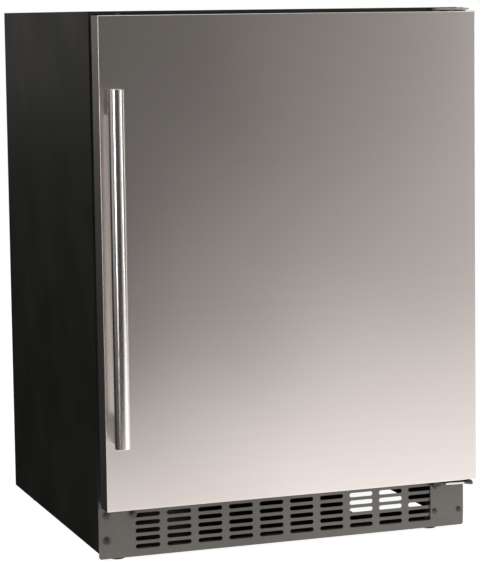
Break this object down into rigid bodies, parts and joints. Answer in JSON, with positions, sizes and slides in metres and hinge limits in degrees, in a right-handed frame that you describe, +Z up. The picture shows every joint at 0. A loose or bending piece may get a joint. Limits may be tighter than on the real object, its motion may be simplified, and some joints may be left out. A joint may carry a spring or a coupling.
{
  "type": "undercounter refrigerator",
  "caption": "Undercounter refrigerator: black case, brushed steel door with a vertical bar handle, slotted toe kick, hinged door with bins, glass shelves and a cooling unit.",
  "frame": {"origin": "on the floor, under the middle of the refrigerator's box with its handle", "axes": "+X right as seen from the front, +Y to the rear, +Z up"},
  "size_m": [0.595, 0.631, 0.818],
  "materials": {
    "black_sheet": "satin",
    "kick_grey": "satin",
    "galvanised": "satin",
    "brushed_door": "satin",
    "brushed_bar": "satin",
    "hinge_steel": "satin",
    "screw_steel": "satin",
    "black_screw": "satin",
    "seal_rubber": "matte",
    "foot_rubber": "matte",
    "white_liner": "satin",
    "white_trim": "satin",
    "clear_bin": "gloss",
    "shelf_glass": "gloss",
    "foam": "matte",
    "black_plastic": "matte",
    "compressor_black": "gloss",
    "motor_steel": "satin",
    "copper": "satin",
    "fin_aluminium": "satin",
    "display_black": "gloss",
    "button_grey": "satin",
    "lens_white": "satin",
    "fan_plastic": "satin"
  },
  "bodies": {
    "cabinet": {"side_panel_left": "black_sheet", "side_panel_right": "black_sheet", "top_panel": "black_sheet", "back_panel": "black_sheet", "front_frame": "black_sheet", "inner_liner": "white_liner", "insulation_foam": "foam", "bay_panel": "galvanised", "base_pan": "black_sheet", "air_divider": "black_sheet", "toe_kick_grille": "kick_grey", "toe_kick_screws": "screw_steel", "bay_cover": "black_sheet", "cord_gland": "black_plastic", "case_screws": "black_screw", "hinge_bracket_lower": "kick_grey", "hinge_bracket_upper": "hinge_steel", "hinge_screws": "screw_steel", "hinge_pins": "hinge_steel", "door_stop": "black_plastic", "hole_plug": "screw_steel", "compressor_shell": "compressor_black", "compressor_motor": "motor_steel", "compressor_mounts": "foot_rubber", "compressor_bolts": "screw_steel", "relay_box": "black_plastic", "condenser_coil": "compressor_black", "fan_shroud": "galvanised", "condenser_fan_motor": "black_plastic", "filter_drier": "copper", "refrigerant_tubes": "copper", "drain_tube": "black_plastic", "drip_tray": "black_plastic", "evaporator_coil": "fin_aluminium", "evaporator_cover": "white_trim", "evaporator_fan_motor": "black_plastic", "control_housing": "white_trim", "control_display": "display_black", "light_lens": "lens_white", "glass_shelves": "shelf_glass", "shelf_trims": "white_trim", "crisper_drawer": "clear_bin"},
    "door": {"door_skin": "brushed_door", "door_inner_panel": "white_liner", "door_foam": "foam", "door_gasket": "seal_rubber", "door_bins": "clear_bin", "handle_bar": "brushed_bar", "handle_posts": "brushed_bar", "handle_screws": "screw_steel", "hinge_bushes": "black_plastic"},
    "condenser_fan": {"condenser_fan_blade": "fan_plastic"},
    "evaporator_fan": {"evaporator_fan_blade": "white_trim"},
    "power_button": {"button_power": "button_grey"},
    "cooler_button": {"button_cooler": "button_grey"},
    "warmer_button": {"button_warmer": "button_grey"},
    "front_left_foot": {"foot_front_left": "foot_rubber"},
    "front_right_foot": {"foot_front_right": "foot_rubber"},
    "rear_left_foot": {"foot_rear_left": "foot_rubber"},
    "rear_right_foot": {"foot_rear_right": "foot_rubber"}
  },
  "joints": [
    {"name": "door_hinge", "type": "hinge", "parent": "cabinet", "child": "door", "pos_m": [0.2825, -0.2375, 0.45], "axis": [0, 0, 1], "range_deg": [0, 110]},
    {"name": "condenser_fan_spin", "type": "hinge", "parent": "cabinet", "child": "condenser_fan", "pos_m": [-0.122, 0.2155, 0.125], "axis": [1, 0, 0], "continuous": true},
    {"name": "evaporator_fan_spin", "type": "hinge", "parent": "cabinet", "child": "evaporator_fan", "pos_m": [0, 0.2005, 0.65], "axis": [0, 1, 0], "continuous": true},
    {"name": "power_press", "type": "slide", "parent": "cabinet", "child": "power_button", "axis": [0, 1, 0], "range_m": [0, 0.001], "stiffness_N_per_m": 800},
    {"name": "cooler_press", "type": "slide", "parent": "cabinet", "child": "cooler_button", "axis": [0, 1, 0], "range_m": [0, 0.001], "stiffness_N_per_m": 800},
    {"name": "warmer_press", "type": "slide", "parent": "cabinet", "child": "warmer_button", "axis": [0, 1, 0], "range_m": [0, 0.001], "stiffness_N_per_m": 800},
    {"name": "front_left_level", "type": "slide", "parent": "cabinet", "child": "front_left_foot", "axis": [0, 0, -1], "range_m": [0, 0.02]},
    {"name": "front_right_level", "type": "slide", "parent": "cabinet", "child": "front_right_foot", "axis": [0, 0, -1], "range_m": [0, 0.02]},
    {"name": "rear_left_level", "type": "slide", "parent": "cabinet", "child": "rear_left_foot", "axis": [0, 0, -1], "range_m": [0, 0.02]},
    {"name": "rear_right_level", "type": "slide", "parent": "cabinet", "child": "rear_right_foot", "axis": [0, 0, -1], "range_m": [0, 0.02]}
  ]
}
